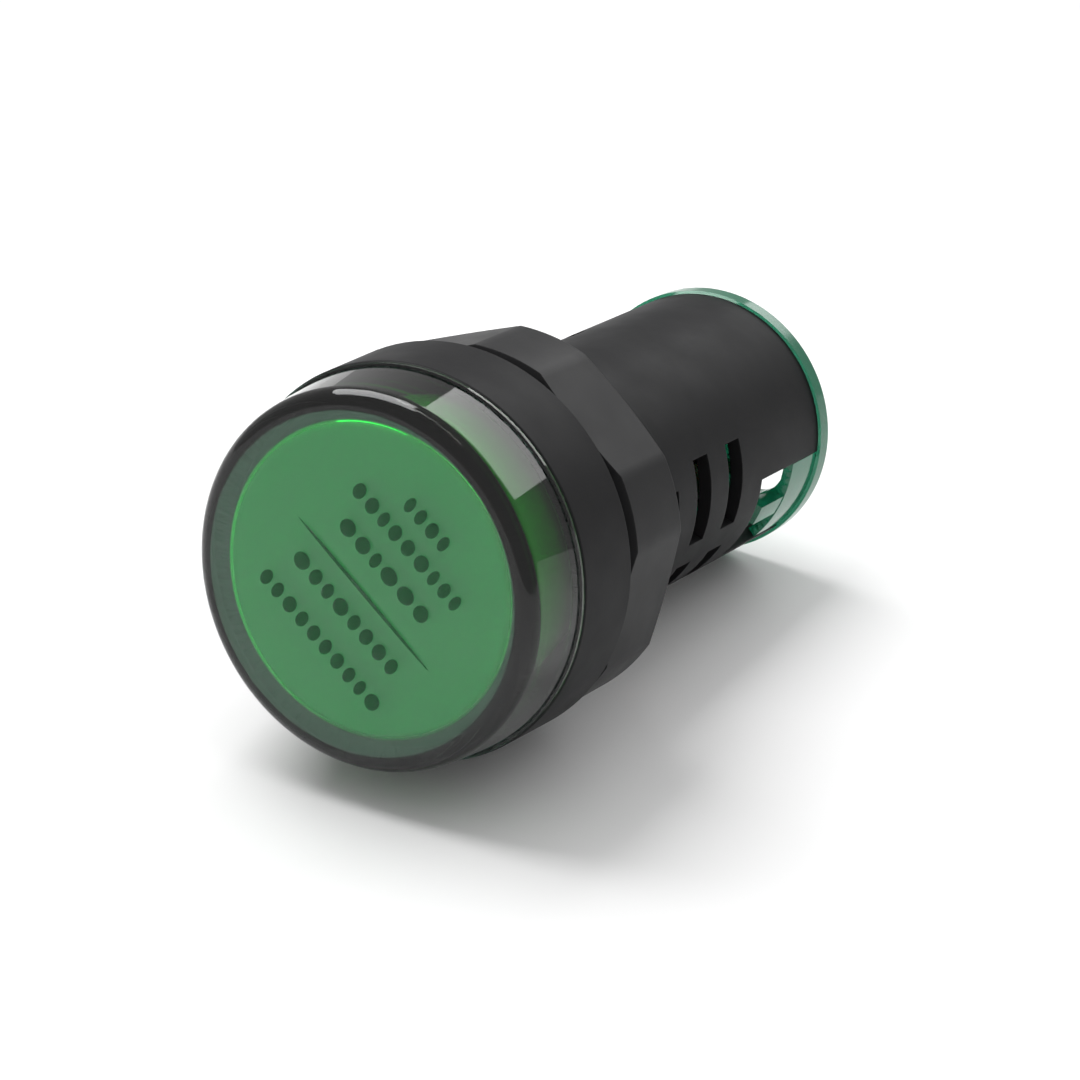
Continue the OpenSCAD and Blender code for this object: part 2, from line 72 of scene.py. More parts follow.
class ShaderSheet:
    """A material's node tree, with short calls for the nodes that the finishes share."""

    def __init__(self, name: str) -> None:
        """Starts a material with one Principled shader.

        Args:
            name: Name of the material.
        """
        self.material = bpy.data.materials.new(name)
        self.material.use_nodes = True
        self.tree = self.material.node_tree
        self.shader = self.tree.nodes["Principled BSDF"]
        self.output = self.tree.nodes["Material Output"]
        self.coords = self.tree.nodes.new("ShaderNodeTexCoord")

    def set(self, **values: object) -> None:
        """Sets sockets of the Principled shader, with underscores for the spaces in their names."""
        for name, value in values.items():
            self.shader.inputs[name.replace("_", " ")].default_value = value

    def link(self, source: bpy.types.NodeSocket, target: bpy.types.NodeSocket) -> None:
        """Links two sockets."""
        self.tree.links.new(source, target)

    def noise(self, size_mm: float, detail: float = 3.0, roughness: float = 0.5) -> bpy.types.NodeSocket:
        """Adds fractal noise on the object's own coordinates.

        Args:
            size_mm: Size of one grain.
            detail: Octaves of the noise.
            roughness: Weight of the finer octaves.

        Returns:
            The noise value's socket.
        """
        node = self.tree.nodes.new("ShaderNodeTexNoise")
        node.inputs["Scale"].default_value = 1.0 / (size_mm * MM)
        node.inputs["Detail"].default_value = detail
        node.inputs["Roughness"].default_value = roughness
        self.link(self.coords.outputs["Object"], node.inputs["Vector"])
        return node.outputs["Fac"]

    def between(self, value: bpy.types.NodeSocket, low: float, high: float) -> bpy.types.NodeSocket:
        """Maps a 0 to 1 value to a range and returns the result's socket."""
        node = self.tree.nodes.new("ShaderNodeMapRange")
        node.inputs["From Min"].default_value = 0.3
        node.inputs["From Max"].default_value = 0.7
        node.inputs["To Min"].default_value = low
        node.inputs["To Max"].default_value = high
        self.link(value, node.inputs["Value"])
        return node.outputs["Result"]

    def tint(self, value: bpy.types.NodeSocket, dark: Colour, light: Colour) -> bpy.types.NodeSocket:
        """Mixes two colours by a value and returns the colour's socket."""
        node = self.tree.nodes.new("ShaderNodeMix")
        node.data_type = "RGBA"
        colour_inputs = [socket for socket in node.inputs if socket.type == "RGBA"]
        colour_inputs[0].default_value = (*dark, 1.0)
        colour_inputs[1].default_value = (*light, 1.0)
        self.link(value, node.inputs["Factor"])
        return next(socket for socket in node.outputs if socket.type == "RGBA")

    def mottle(self, value: bpy.types.NodeSocket, colour: Colour, gain: float) -> None:
        """Mixes a colour with a lighter one by a value.

        Args:
            value: Socket of the share of the lighter colour, 0 to 1.
            colour: The darker colour.
            gain: Brightness of the lighter colour, as a multiple of the darker one.
        """
        light = tuple(min(1.0, gain * part) for part in colour)
        self.link(self.tint(value, colour, light), self.shader.inputs["Base Color"])

    def bump(
        self, height: bpy.types.NodeSocket, depth_mm: float, strength: float = 1.0, edge_mm: float = 0.0
    ) -> None:
        """Raises the surface by a height value and softens its edges.

        Args:
            height: Socket of the height, 0 to 1.
            depth_mm: Depth of the relief.
            strength: Strength of the relief.
            edge_mm: Radius that the edges seem to have, 0 for none.
        """
        node = self.tree.nodes.new("ShaderNodeBump")
        if edge_mm > 0.0:
            bevel = self.tree.nodes.new("ShaderNodeBevel")
            bevel.samples = 6
            bevel.inputs["Radius"].default_value = edge_mm * MM
            self.link(bevel.outputs["Normal"], node.inputs["Normal"])
        node.inputs["Distance"].default_value = depth_mm * MM
        node.inputs["Strength"].default_value = strength
        self.link(height, node.inputs["Height"])
        self.link(node.outputs["Normal"], self.shader.inputs["Normal"])


# --- Finishes -------------------------------------------------------------------------------------


@dataclass(frozen=True)
class MouldedPlastic:
    """Opaque injection-moulded plastic with an eroded grain."""

    name: str
    colour: Colour
    roughness: float = 0.5
    specular: float = 0.3
    grain_mm: float = 0.16
    grain_depth_mm: float = 0.006
    edge_mm: float = 0.12

    def material(self) -> bpy.types.Material:
        """Builds the material.

        Returns:
            The plastic, with uneven tone, uneven gloss and a fine grain.
        """
        sheet = ShaderSheet(self.name)
        cloud = sheet.noise(4.0, 4.0)
        grain = sheet.noise(self.grain_mm, 2.0, 0.6)
        sheet.mottle(cloud, self.colour, 1.25)
        sheet.link(
            sheet.between(cloud, self.roughness - 0.04, self.roughness + 0.05),
            sheet.shader.inputs["Roughness"],
        )
        sheet.set(Specular_IOR_Level=self.specular)
        sheet.bump(grain, self.grain_depth_mm, 1.0, self.edge_mm)
        return sheet.material


@dataclass(frozen=True)
class TintedPlastic:
    """Clear tinted plastic that light passes through."""

    name: str
    tint: Colour
    density: float
    roughness: float = 0.05
    ripple_depth_mm: float = 0.004

    def material(self) -> bpy.types.Material:
        """Builds the material.

        Returns:
            The plastic, with a tint that deepens with its thickness and a faint moulding ripple.
        """
        sheet = ShaderSheet(self.name)
        sheet.set(
            Base_Color=(1.0, 1.0, 1.0, 1.0),
            Transmission_Weight=1.0,
            IOR=1.49,
            Roughness=self.roughness,
        )
        absorb = sheet.tree.nodes.new("ShaderNodeVolumeAbsorption")
        absorb.inputs["Color"].default_value = (*self.tint, 1.0)
        absorb.inputs["Density"].default_value = self.density
        sheet.link(absorb.outputs["Volume"], sheet.output.inputs["Volume"])
        sheet.bump(sheet.noise(2.5, 1.0), self.ripple_depth_mm, 0.4)
        return sheet.material


@dataclass(frozen=True)
class MilkyPlastic:
    """Tinted plastic that is partly clear and partly milky."""

    name: str
    colour: Colour
    clear: float
    roughness: float = 0.12

    def material(self) -> bpy.types.Material:
        """Builds the material and returns it."""
        sheet = ShaderSheet(self.name)
        sheet.mottle(sheet.noise(3.0, 2.0), self.colour, 1.3)
        sheet.set(Transmission_Weight=self.clear, IOR=1.49, Roughness=self.roughness)
        sheet.bump(sheet.noise(1.5, 1.0), 0.004, 0.5)
        return sheet.material


@dataclass(frozen=True)
class OpalPlastic:
    """White light-scattering plastic."""

    name: str
    colour: Colour

    def material(self) -> bpy.types.Material:
        """Builds the material and returns it."""
        sheet = ShaderSheet(self.name)
        sheet.mottle(sheet.noise(3.0), self.colour, 1.05)
        sheet.set(Roughness=0.55)
        sheet.bump(sheet.noise(0.2), 0.004)
        return sheet.material


@dataclass(frozen=True)
class ClearFilm:
    """Thin clear film with a soft gloss."""

    name: str

    def material(self) -> bpy.types.Material:
        """Builds the material and returns it."""
        sheet = ShaderSheet(self.name)
        sheet.set(Base_Color=(0.30, 0.62, 0.42, 1.0), Alpha=0.08, Roughness=0.10)
        sheet.bump(sheet.noise(6.0, 1.0), 0.01, 0.3)
        return sheet.material


@dataclass(frozen=True)
class PrintInk:
    """Thin dark ink that lets some of the ground through."""

    name: str
    colour: Colour
    cover: float

    def material(self) -> bpy.types.Material:
        """Builds the material and returns it."""
        sheet = ShaderSheet(self.name)
        sheet.mottle(sheet.noise(0.5), self.colour, 1.3)
        sheet.set(Alpha=self.cover, Roughness=0.6)
        return sheet.material


@dataclass(frozen=True)
class BoardMask:
    """Solder mask over a fibre board, with a faint unevenness."""

    name: str
    colour: Colour

    def material(self) -> bpy.types.Material:
        """Builds the material and returns it."""
        sheet = ShaderSheet(self.name)
        cloud = sheet.noise(0.6, 1.0)
        sheet.mottle(cloud, self.colour, 1.3)
        sheet.set(Roughness=0.35)
        sheet.bump(cloud, 0.01, 0.5)
        return sheet.material


@dataclass(frozen=True)
class PlatedMetal:
    """Sheet metal or turned metal with a thin plating."""

    name: str
    colour: Colour
    roughness: float

    def material(self) -> bpy.types.Material:
        """Builds the material and returns it."""
        sheet = ShaderSheet(self.name)
        cloud = sheet.noise(1.2, 4.0, 0.6)
        sheet.mottle(cloud, self.colour, 1.2)
        sheet.link(
            sheet.between(cloud, self.roughness - 0.06, self.roughness + 0.08),
            sheet.shader.inputs["Roughness"],
        )
        sheet.set(Metallic=1.0)
        sheet.bump(sheet.noise(0.12, 2.0), 0.003, 1.0, 0.06)
        return sheet.material


@dataclass(frozen=True)
class Lacquer:
    """Glossy dipped coat, as on resistors and film capacitors."""

    name: str
    colour: Colour
    roughness: float = 0.22

    def material(self) -> bpy.types.Material:
        """Builds the material and returns it."""
        sheet = ShaderSheet(self.name)
        cloud = sheet.noise(1.5, 2.0)
        sheet.mottle(cloud, self.colour, 1.25)
        sheet.set(Roughness=self.roughness)
        sheet.bump(cloud, 0.05, 0.4)
        return sheet.material


# --- Mesh helpers ---------------------------------------------------------------------------------


def add_piece(name: str, mesh: bpy.types.Mesh, body: Body) -> bpy.types.Object:
    """Links a finished mesh as a piece of the light.

    Args:
        name: Name of the piece.
        mesh: Its mesh, in place.
        body: Body that it rides on.

    Returns:
        The new object.
    """
    piece = bpy.data.objects.new(name, mesh)
    bpy.context.scene.collection.objects.link(piece)
    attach(piece, body.value)
    return piece


def smooth_by_angle(mesh: bpy.types.Mesh, degrees: float) -> None:
    """Shades a mesh smooth, apart from edges sharper than an angle.

    Args:
        mesh: The mesh to shade.
        degrees: Sharpest angle that stays smooth.
    """
    mesh.shade_smooth()
    mesh.set_sharp_from_angle(angle=math.radians(degrees))


def round_copy(node: str) -> bpy.types.Mesh:
    """Copies a solid's mesh, joins its triangles and shades it smooth apart from its sharp edges.

    Args:
        node: Name of the CAD node.

    Returns:
        The new mesh.
    """
    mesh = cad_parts[node].data.copy()
    mesh.name = node + "_round"
    cage = bmesh.new()
    cage.from_mesh(mesh)
    bmesh.ops.remove_doubles(cage, verts=cage.verts, dist=0.002 * MM)
    cage.to_mesh(mesh)
    cage.free()
    smooth_by_angle(mesh, 30.0)
    return mesh


def true_normals(mesh: bpy.types.Mesh, smallest_mm: float) -> None:
    """Points the normals of walls that run round the device axis straight out or in.

    Args:
        mesh: The mesh to shade.
        smallest_mm: Smallest radius of such a wall.
    """
    normals = [Vector(normal.vector) for normal in mesh.corner_normals]
    for face in mesh.polygons:
        if abs(face.normal.y) > 0.03:
            continue
        places = [mesh.vertices[index].co for index in face.vertices]
        radii = [math.hypot(place.x, place.z) for place in places]
        if min(radii) < smallest_mm * MM or max(radii) - min(radii) > 0.12 * MM:
            continue
        for corner in face.loop_indices:
            place = mesh.vertices[mesh.loops[corner].vertex_index].co
            outward = Vector((place.x, 0.0, place.z)).normalized()
            side = outward.dot(face.normal)
            if abs(side) > 0.9:
                normals[corner] = outward if side > 0.0 else -outward
    mesh.normals_split_custom_set([tuple(normal) for normal in normals])


class NodeSheet:
    """A Geometry Nodes tree with named inputs, written node by node."""

    def __init__(self, name: str, inputs: dict[str, str]) -> None:
        """Starts a tree with one geometry output.

        Args:
            name: Name of the tree.
            inputs: Socket type of each named input.
        """
        self.tree = bpy.data.node_groups.new(name, "GeometryNodeTree")
        self.tree.interface.new_socket("Result", in_out="OUTPUT", socket_type="NodeSocketGeometry")
        for title, kind in inputs.items():
            self.tree.interface.new_socket(title, in_out="INPUT", socket_type=kind)
        self.given = self.tree.nodes.new("NodeGroupInput")
        self.result = self.tree.nodes.new("NodeGroupOutput")

    def input(self, title: str) -> bpy.types.NodeSocket:
        """Returns the socket of a named input."""
        return self.given.outputs[title]

    def add(self, kind: str, output: str, **values: object) -> bpy.types.NodeSocket:
        """Adds a node.

        Args:
            kind: Type of the node.
            output: Name of the output to return.
            values: Value or source socket of each input, with underscores for spaces.

        Returns:
            The named output's socket.
        """
        node = self.tree.nodes.new(kind)
        for title, value in values.items():
            target = node.inputs[title.replace("_", " ")]
            if isinstance(value, bpy.types.NodeSocket):
                self.tree.links.new(value, target)
            else:
                target.default_value = value
        return node.outputs[output]

    def finish(self, geometry: bpy.types.NodeSocket, material: bpy.types.Material) -> None:
        """Ends the tree in Realize Instances and Set Material.

        Args:
            geometry: Geometry to put out.
            material: Material of everything in it.
        """
        real = self.add("GeometryNodeRealizeInstances", "Geometry", Geometry=geometry)
        dressed = self.add("GeometryNodeSetMaterial", "Geometry", Geometry=real, Material=material)
        self.tree.links.new(dressed, self.result.inputs["Result"])

    def bake(self, name: str, values: dict[str, object], ground: bpy.types.Mesh) -> bpy.types.Mesh:
        """Runs the tree on a mesh and keeps the result as a plain mesh.

        Args:
            name: Name of the new mesh.
            values: Value of each named input.
            ground: Mesh that the modifier sits on.

        Returns:
            The baked mesh.
        """
        holder = bpy.data.objects.new(name + "_source", ground)
        bpy.context.scene.collection.objects.link(holder)
        modifier = holder.modifiers.new("build", "NODES")
        modifier.node_group = self.tree
        for item in self.tree.interface.items_tree:
            if item.in_out == "INPUT" and item.name in values:
                modifier[item.identifier] = values[item.name]
        graph = bpy.context.evaluated_depsgraph_get()
        mesh = bpy.data.meshes.new_from_object(holder.evaluated_get(graph))
        mesh.name = name
        holder.modifiers.remove(modifier)
        bpy.data.objects.remove(holder)
        return mesh


def point_cloud(name: str, places: Sequence[Vector], widths: Sequence[float]) -> bpy.types.Mesh:
    """Makes a mesh of loose points, each with a width.

    Args:
        name: Name of the mesh.
        places: Places of the points, in metres.
        widths: Width stored on each point.

    Returns:
        The mesh.
    """
    mesh = bpy.data.meshes.new(name)
    mesh.from_pydata([tuple(place) for place in places], [], [])
    mesh.attributes.new("width", "FLOAT", "POINT").data.foreach_set("value", list(widths))
    return mesh


def from_window(along: float, across: float, y: float) -> Vector:
    """Turns a place measured from the first wire window into the part's frame.

    Args:
        along: Distance from the axis towards the window, in millimetres.
        across: Distance across that direction.
        y: Place along the device axis.

    Returns:
        The place in metres.
    """
    turn = math.radians(WINDOW_TURN)
    x = along * math.cos(turn) - across * math.sin(turn)
    z = -along * math.sin(turn) - across * math.cos(turn)
    return Vector((x, y, z)) * MM


def revolve(name: str, profile: Sequence[Point], steps: int) -> bpy.types.Mesh:
    """Turns a closed profile about the device axis.

    Args:
        name: Name of the mesh.
        profile: Points (radius, y) in millimetres, round the section; ends on the axis are shared.
        steps: Number of steps in the full turn.

    Returns:
        A closed mesh in metres.
    """
    cage = bmesh.new()
    rings: list[list[bmesh.types.BMVert]] = []
    for radius, y in profile:
        if radius < 1e-6:
            rings.append([cage.verts.new((0.0, y * MM, 0.0))] * steps)
            continue
        rings.append([
            cage.verts.new((
                radius * MM * math.cos(2 * math.pi * step / steps),
                y * MM,
                radius * MM * math.sin(2 * math.pi * step / steps),
            ))
            for step in range(steps)
        ])
    for first, second in zip(rings, rings[1:]):
        for step in range(steps):
            after = (step + 1) % steps
            corners = [first[step], first[after], second[after], second[step]]
            unique = list(dict.fromkeys(corners))
            if len(unique) > 2:
                cage.faces.new(unique)
    bmesh.ops.recalc_face_normals(cage, faces=cage.faces)
    mesh = bpy.data.meshes.new(name)
    cage.to_mesh(mesh)
    cage.free()
    return mesh


def arc(centre: Point, radius: float, start: float, end: float, steps: int) -> list[Point]:
    """Lists points on an arc.

    Args:
        centre: Centre of the arc.
        radius: Radius of the arc.
        start: First angle in degrees.
        end: Last angle in degrees.
        steps: Number of chords.

    Returns:
        The points, both ends included.
    """
    angles = [math.radians(start + (end - start) * step / steps) for step in range(steps + 1)]
    return [(centre[0] + radius * math.cos(a), centre[1] + radius * math.sin(a)) for a in angles]


# --- Sub-assemblies -------------------------------------------------------------------------------


@dataclass
class LensCap:
    """Tinted lens with the opal cup behind it."""

    edge_radius: float = 1.3
    front_wall: float = 1.4
    lip_length: float = 0.3
    foot_step: float = 0.2
    draft: float = 0.45
    skirt_step: float = 1.85
    inner_fillet: float = 0.6
    film_gap: float = 0.03
    opal_gap: float = 0.06
    cup_wall: float = 1.0
    cup_fit: float = 0.1
    lip_ramp: float = 0.05
    steps: int = 256
    finish: TintedPlastic = TintedPlastic("lens_green", (0.05, 0.84, 0.53), 2000.0, 0.03)
    opal: OpalPlastic = OpalPlastic("opal_white", (0.84, 0.87, 0.84))

    def build(self) -> list[bpy.types.Object]:
        """Builds the lens and the cup.

        Returns:
            The two pieces.
        """
        low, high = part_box("lens")
        front = low.y / MM + self.film_gap
        rear = high.y / MM
        lip = high.x / MM
        foot = lip - self.foot_step
        wall = foot - self.draft
        skirt = lip - self.skirt_step
        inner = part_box("diffuser")[1].x / MM + self.cup_fit
        bezel_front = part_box("housing")[0].y / MM
        inner_front = front + self.front_wall
        profile = [(0.0, front)]
        profile += arc(
            (wall - self.edge_radius, front + self.edge_radius), self.edge_radius, -90, 0, 16
        )
        profile += [
            (foot, bezel_front - self.lip_length),
            (lip, bezel_front - self.lip_length + self.lip_ramp),
            (lip, bezel_front),
            (skirt, bezel_front),
            (skirt, rear),
            (inner, rear),
        ]
        profile += arc(
            (inner - self.inner_fillet, inner_front + self.inner_fillet), self.inner_fillet, 0, -90, 8
        )
        profile += [(0.0, inner_front)]
        mesh = revolve("lens_cap", profile, self.steps)
        smooth_by_angle(mesh, 30.0)
        mesh.materials.append(self.finish.material())
        lens = add_piece("lens_cap", mesh, Body.MAIN)
        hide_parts("lens")
        return [lens, self.build_cup(inner_front)]

    def build_cup(self, inner_front: float) -> bpy.types.Object:
        """Builds the opal cup, set just behind the lens.

        Args:
            inner_front: Place of the lens' inner face along the axis.

        Returns:
            The cup.
        """
        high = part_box("diffuser")[1]
        outer, rear = high.x / MM, high.y / MM
        face = inner_front + self.opal_gap
        edge = self.inner_fillet
        profile = [(0.0, face)]
        profile += arc((outer - edge, face + edge), edge, -90, 0, 8)
        profile += [
            (outer, rear),
            (outer - self.cup_wall, rear),
            (outer - self.cup_wall, face + self.cup_wall),
            (0.0, face + self.cup_wall),
        ]
        mesh = revolve("opal_cup", profile, self.steps)
        smooth_by_angle(mesh, 30.0)
        mesh.materials.append(self.opal.material())
        cup = add_piece("opal_cup", mesh, Body.MAIN)
        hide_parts("diffuser")
        return cup


@dataclass
class PrintRow:
    """One row of the film's print."""

    offset: float
    ovals: int
    length: float


@dataclass
class FilmPrint:
    """Generic print on the protective film: rows of plain ovals and a dividing line."""

    turn_degrees: float = 35.9
    centre: float = 0.6
    oval_height: float = 1.35
    oval_gap: float = 0.36
    line_length: float = 14.6
    line_height: float = 0.3
    line_offset: float = -0.15
    lift: float = 0.02
    thickness: float = 0.01
    seed: int = 11
    rows: tuple[PrintRow, ...] = (
        PrintRow(7.8, 4, 4.4),
        PrintRow(5.3, 9, 11.4),
        PrintRow(2.5, 6, 9.4),
        PrintRow(-2.4, 8, 11.2),
        PrintRow(-5.7, 10, 13.0),
    )
    ink: PrintInk = PrintInk("film_ink", (0.001, 0.02, 0.010), 0.42)

    def build(self) -> bpy.types.Object:
        """Builds the print as thin ovals just in front of the film.

        Returns:
            The print.
        """
        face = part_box("protective_film")[0].y / MM - self.lift
        turn = Matrix.Rotation(math.radians(self.turn_degrees), 4, "Y")
        dice = random.Random(self.seed)
        places: list[Vector] = []
        widths: list[float] = []
        for row in self.rows:
            shares = [dice.uniform(0.7, 1.3) for _ in range(row.ovals)]
            room = row.length - self.oval_gap * (row.ovals - 1)
            x = self.centre - row.length / 2
            for share in shares:
                width = room * share / sum(shares)
                places.append(turn @ (Vector((x + width / 2, face, row.offset)) * MM))
                widths.append(width)
                x += width + self.oval_gap
        ovals = self.oval_sheet("print_ovals").bake(
            "film_print",
            {"Height": self.oval_height * MM, "Turn": turn.to_euler()},
            point_cloud("print_points", places, widths),
        )
        middle = turn @ (Vector((self.centre, face, self.line_offset)) * MM)
        line = self.oval_sheet("print_line").bake(
            "film_line",
            {"Height": self.line_height * MM, "Turn": turn.to_euler()},
            point_cloud("line_point", [middle], [self.line_length]),
        )
        cage = bmesh.new()
        cage.from_mesh(ovals)
        cage.from_mesh(line)
        cage.to_mesh(ovals)
        cage.free()
        return add_piece("film_print", ovals, Body.MAIN)

    def oval_sheet(self, name: str) -> NodeSheet:
        """Writes the tree that sets a thin oval on each point.

        Args:
            name: Name of the tree.

        Returns:
            The tree.
        """
        sheet = NodeSheet(name, {
            "Points": "NodeSocketGeometry", "Height": "NodeSocketFloat", "Turn": "NodeSocketRotation",
        })
        disc = sheet.add(
            "GeometryNodeMeshCylinder", "Mesh",
            Vertices=24, Radius=0.5 * MM, Depth=self.thickness * MM,
        )
        flat = sheet.add(
            "GeometryNodeTransform", "Geometry", Geometry=disc, Rotation=(math.pi / 2, 0.0, 0.0)
        )
        width = sheet.add("GeometryNodeInputNamedAttribute", "Attribute", Name="width")
        tall = sheet.add("ShaderNodeMath", "Value")
        scaling = tall.node
        scaling.operation = "DIVIDE"
        sheet.tree.links.new(sheet.input("Height"), scaling.inputs[0])
        scaling.inputs[1].default_value = MM
        size = sheet.add("ShaderNodeCombineXYZ", "Vector", X=width, Y=1.0, Z=tall)
        ovals = sheet.add(
            "GeometryNodeInstanceOnPoints", "Instances",
            Points=sheet.input("Points"), Instance=flat, Rotation=sheet.input("Turn"), Scale=size,
        )
        sheet.finish(ovals, self.ink.material())
        return sheet


@dataclass
class Housing:
    """Black housing: bezel, barrel, vent slots and wire windows, and the thread on its two sectors."""

    thread_core: float = 10.56
    thread_crest: float = 11.0
    thread_end: float = 13.6
    pitch: float = 1.5
    ridges: int = 9
    ridge_depth: float = 0.42
    crest_gap: float = 0.005
    sector_degrees: float = 106.0
    finish: MouldedPlastic = MouldedPlastic("black_plastic", (0.0095, 0.0095, 0.0102), 0.5, 0.1)

    def build(self) -> list[bpy.types.Object]:
        """Builds the moulding and its thread.

        Returns:
            The two pieces.
        """
        mesh = round_copy("housing")
        for vertex in mesh.vertices:
            radius = math.hypot(vertex.co.x, vertex.co.z) / MM
            if abs(radius - self.thread_crest) < 0.03 and vertex.co.y / MM < self.thread_end + 0.1:
                vertex.co.x *= self.thread_core / radius
                vertex.co.z *= self.thread_core / radius
        true_normals(mesh, 9.0)
        mesh.materials.clear()
        material = self.finish.material()
        mesh.materials.append(material)
        housing = add_piece("housing_moulding", mesh, Body.MAIN)
        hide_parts("housing")
        return [housing, self.build_thread(material)]

    def build_thread(self, material: bpy.types.Material) -> bpy.types.Object:
        """Builds the ridges of the panel thread on both sectors.

        Args:
            material: Finish of the housing.

        Returns:
            The ridges as one piece.
        """
        sheet = NodeSheet("panel_thread", {
            "Ridges": "NodeSocketInt", "Radius": "NodeSocketFloat", "Depth": "NodeSocketFloat",
        })
        share = self.sector_degrees / 360.0
        helix = sheet.add(
            "GeometryNodeCurveSpiral", "Curve",
            Resolution=150, Rotations=share, Start_Radius=sheet.input("Radius"),
            End_Radius=sheet.input("Radius"), Height=share * self.pitch * MM,
        )
        section = sheet.add(
            "GeometryNodeCurvePrimitiveCircle", "Curve", Resolution=4, Radius=sheet.input("Depth")
        )
        ridge = sheet.add(
            "GeometryNodeCurveToMesh", "Mesh", Curve=helix, Profile_Curve=section, Fill_Caps=True
        )
        line = sheet.add(
            "GeometryNodeMeshLine", "Mesh", Count=sheet.input("Ridges"), Offset=(0.0, 0.0, self.pitch * MM)
        )
        rows = sheet.add("GeometryNodeInstanceOnPoints", "Instances", Points=line, Instance=ridge)
        first = sheet.add(
            "GeometryNodeTransform", "Geometry", Geometry=rows,
            Rotation=(0.0, 0.0, math.radians(WINDOW_TURN + 90.0 - self.sector_degrees / 2)),
        )
        second = sheet.add(
            "GeometryNodeTransform", "Geometry", Geometry=first,
            Translation=(0.0, 0.0, self.pitch / 2 * MM), Rotation=(0.0, 0.0, math.pi),
        )
        both = sheet.tree.nodes.new("GeometryNodeJoinGeometry")
        sheet.tree.links.new(first, both.inputs["Geometry"])
        sheet.tree.links.new(second, both.inputs["Geometry"])
        upright = sheet.add(
            "GeometryNodeTransform", "Geometry", Geometry=both.outputs["Geometry"],
            Rotation=(-math.pi / 2, 0.0, 0.0),
        )
        sheet.finish(upright, material)
        values = {
            "Ridges": self.ridges,
            "Radius": (self.thread_crest - self.ridge_depth - self.crest_gap) * MM,
            "Depth": self.ridge_depth * MM,
        }
        mesh = sheet.bake("thread_ridges", values, bpy.data.meshes.new("thread_source"))
        smooth_by_angle(mesh, 20.0)
        return add_piece("thread_ridges", mesh, Body.MAIN)


@dataclass
class PanelNut:
    """Hexagonal panel nut."""

    finish: MouldedPlastic = MouldedPlastic("nut_plastic", (0.0125, 0.0125, 0.0132), 0.42, 0.14)

    def build(self) -> bpy.types.Object:
        """Builds the nut, shaded smooth apart from its sharp edges.

        Returns:
            The nut.
        """
        mesh = round_copy("panel_nut")
        mesh.materials.clear()
        mesh.materials.append(self.finish.material())
        nut = add_piece("nut_moulding", mesh, Body.NUT)
        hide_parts("panel_nut")
        return nut


@dataclass
class Terminals:
    """Green rear insert."""

    finish: MilkyPlastic = MilkyPlastic("base_green", (0.012, 0.22, 0.115), 0.55)

    def build(self) -> bpy.types.Object:
        """Builds the insert with its round walls shaded round.

        Returns:
            The insert.
        """
        mesh = round_copy("terminal_base")
        true_normals(mesh, 8.0)
        mesh.materials.clear()
        mesh.materials.append(self.finish.material())
        base = add_piece("terminal_insert", mesh, Body.MAIN)
        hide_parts("terminal_base")
        return base


